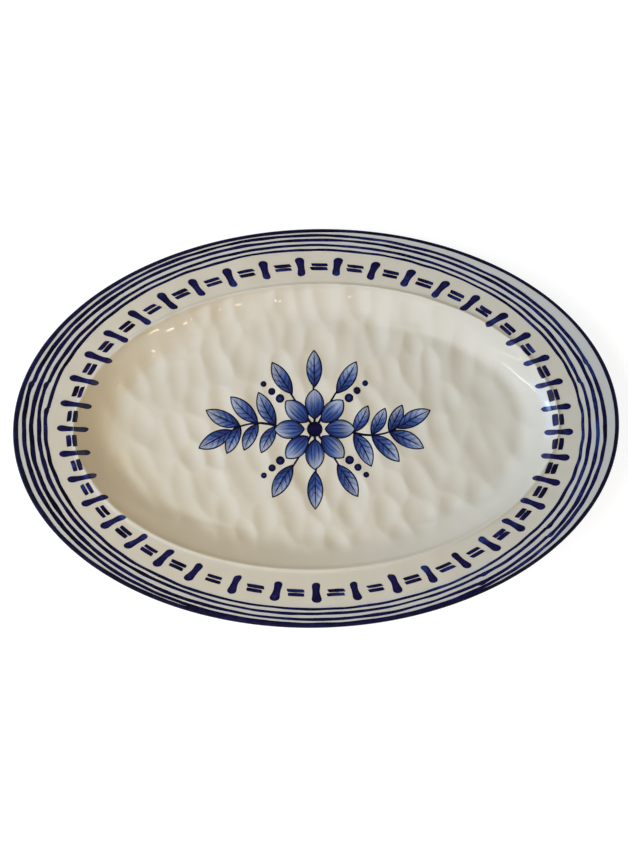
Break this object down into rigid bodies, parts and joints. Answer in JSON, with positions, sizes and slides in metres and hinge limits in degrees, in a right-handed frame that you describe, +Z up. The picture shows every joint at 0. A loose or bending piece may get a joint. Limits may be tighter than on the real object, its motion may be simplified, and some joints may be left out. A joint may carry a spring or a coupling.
{
  "type": "oval serving platter",
  "caption": "Oval serving platter with a broad flat rim, a shallow well on a foot ring and a blue printed border and leaf spray.",
  "frame": {"origin": "middle of the foot ring, on the plane it stands on", "axes": "+X along the platter's length, +Y across it, +Z up out of the well"},
  "size_m": [0.457, 0.302, 0.0251],
  "materials": {
    "moulded_melamine": "glossy moulded cream melamine",
    "decor_foil": "glossy cream face with softly hammered floor",
    "navy_print": "dark navy print under a clear gloss",
    "cobalt_print": "cobalt blue wash under a clear gloss"
  },
  "bodies": {
    "root": {"moulded_body": "moulded_melamine", "decor_foil": "decor_foil", "edge_band": "navy_print", "stripe_1": "navy_print", "stripe_2": "navy_print", "stripe_3": "navy_print", "stripe_4": "navy_print", "border_bars": "navy_print", "border_dashes": "cobalt_print", "motif_stems": "navy_print", "motif_leaves": "cobalt_print", "motif_petals": "cobalt_print", "motif_eye": "navy_print", "motif_berries": "navy_print"}
  },
  "joints": []
}
